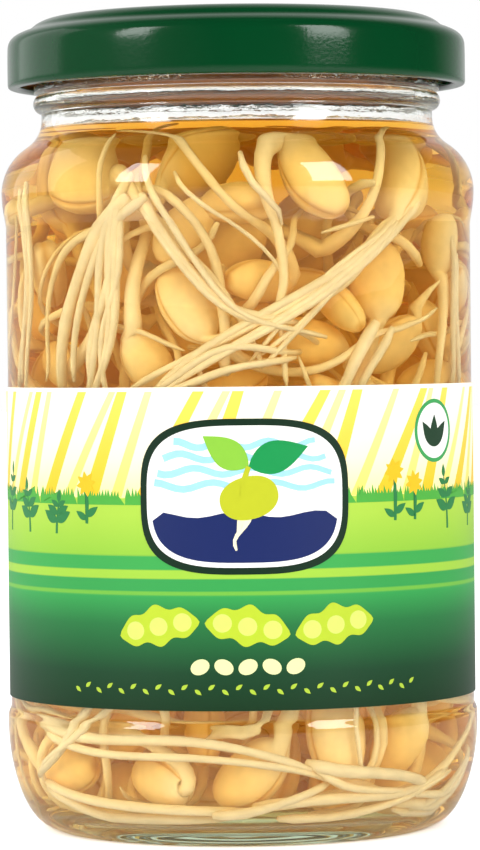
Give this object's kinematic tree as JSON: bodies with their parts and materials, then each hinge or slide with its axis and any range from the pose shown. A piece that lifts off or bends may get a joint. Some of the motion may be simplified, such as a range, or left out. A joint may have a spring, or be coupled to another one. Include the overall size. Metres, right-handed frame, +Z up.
{
  "type": "jar of bean sprouts",
  "caption": "Round glass jar of soybean sprouts in brine, with a wrap-round paper label and a green twist-off metal lid.",
  "frame": {"origin": "centre of the jar's base, on the surface it stands on", "axes": "+Z up along the jar's axis; the label's front faces -Y"},
  "size_m": [0.0724, 0.0724, 0.1235],
  "materials": {
    "glass": "clear flint glass, fire-polished",
    "brine": "clear pale amber liquid",
    "label_paper": "coated paper, printed in white, yellow and greens",
    "green_lacquer": "glossy dark green lacquer on tinplate",
    "sealing_compound": "off-white flowed-in sealing compound",
    "yellow_sprout": "wet, cooked, yellow seed halves and cream root",
    "pale_sprout": "wet, cooked, pale cream seed halves and root"
  },
  "bodies": {
    "jar": {"glass_jar": "glass", "brine": "brine", "label": "label_paper", "sprout_01": "yellow_sprout", "sprout_02": "yellow_sprout", "sprout_03": "pale_sprout", "sprout_04": "yellow_sprout", "sprout_05": "yellow_sprout", "sprout_06": "pale_sprout", "sprout_07": "yellow_sprout", "sprout_08": "yellow_sprout", "sprout_09": "pale_sprout", "sprout_10": "yellow_sprout", "sprout_11": "yellow_sprout", "sprout_12": "pale_sprout", "sprout_13": "yellow_sprout", "sprout_14": "yellow_sprout", "sprout_15": "pale_sprout", "sprout_16": "yellow_sprout", "sprout_17": "yellow_sprout", "sprout_18": "pale_sprout", "sprout_19": "yellow_sprout", "sprout_20": "yellow_sprout", "sprout_21": "pale_sprout", "sprout_22": "yellow_sprout", "sprout_23": "yellow_sprout", "sprout_24": "pale_sprout", "sprout_25": "yellow_sprout", "sprout_26": "yellow_sprout", "sprout_27": "pale_sprout", "sprout_28": "yellow_sprout", "sprout_29": "yellow_sprout", "sprout_30": "pale_sprout", "sprout_31": "yellow_sprout", "sprout_32": "yellow_sprout", "sprout_33": "pale_sprout", "sprout_34": "yellow_sprout", "sprout_35": "yellow_sprout", "sprout_36": "pale_sprout", "sprout_37": "yellow_sprout", "sprout_38": "yellow_sprout", "sprout_39": "pale_sprout", "sprout_40": "yellow_sprout", "sprout_41": "yellow_sprout", "sprout_42": "pale_sprout"},
    "seal": {"lid_gasket": "sealing_compound"},
    "lid": {"lid": "green_lacquer"}
  },
  "joints": [
    {"name": "lid_lift", "type": "slide", "parent": "jar", "child": "seal", "axis": [0, 0, 1], "range_m": [0, 0.00168]},
    {"name": "lid_turn", "type": "hinge", "parent": "seal", "child": "lid", "pos_m": [0, 0, 0.118], "axis": [0, 0, 1], "range_deg": [0, 70]}
  ],
  "couplings": [
    {"joint": "lid_lift", "follows": "lid_turn", "m_per_rad": 0.001375}
  ]
}
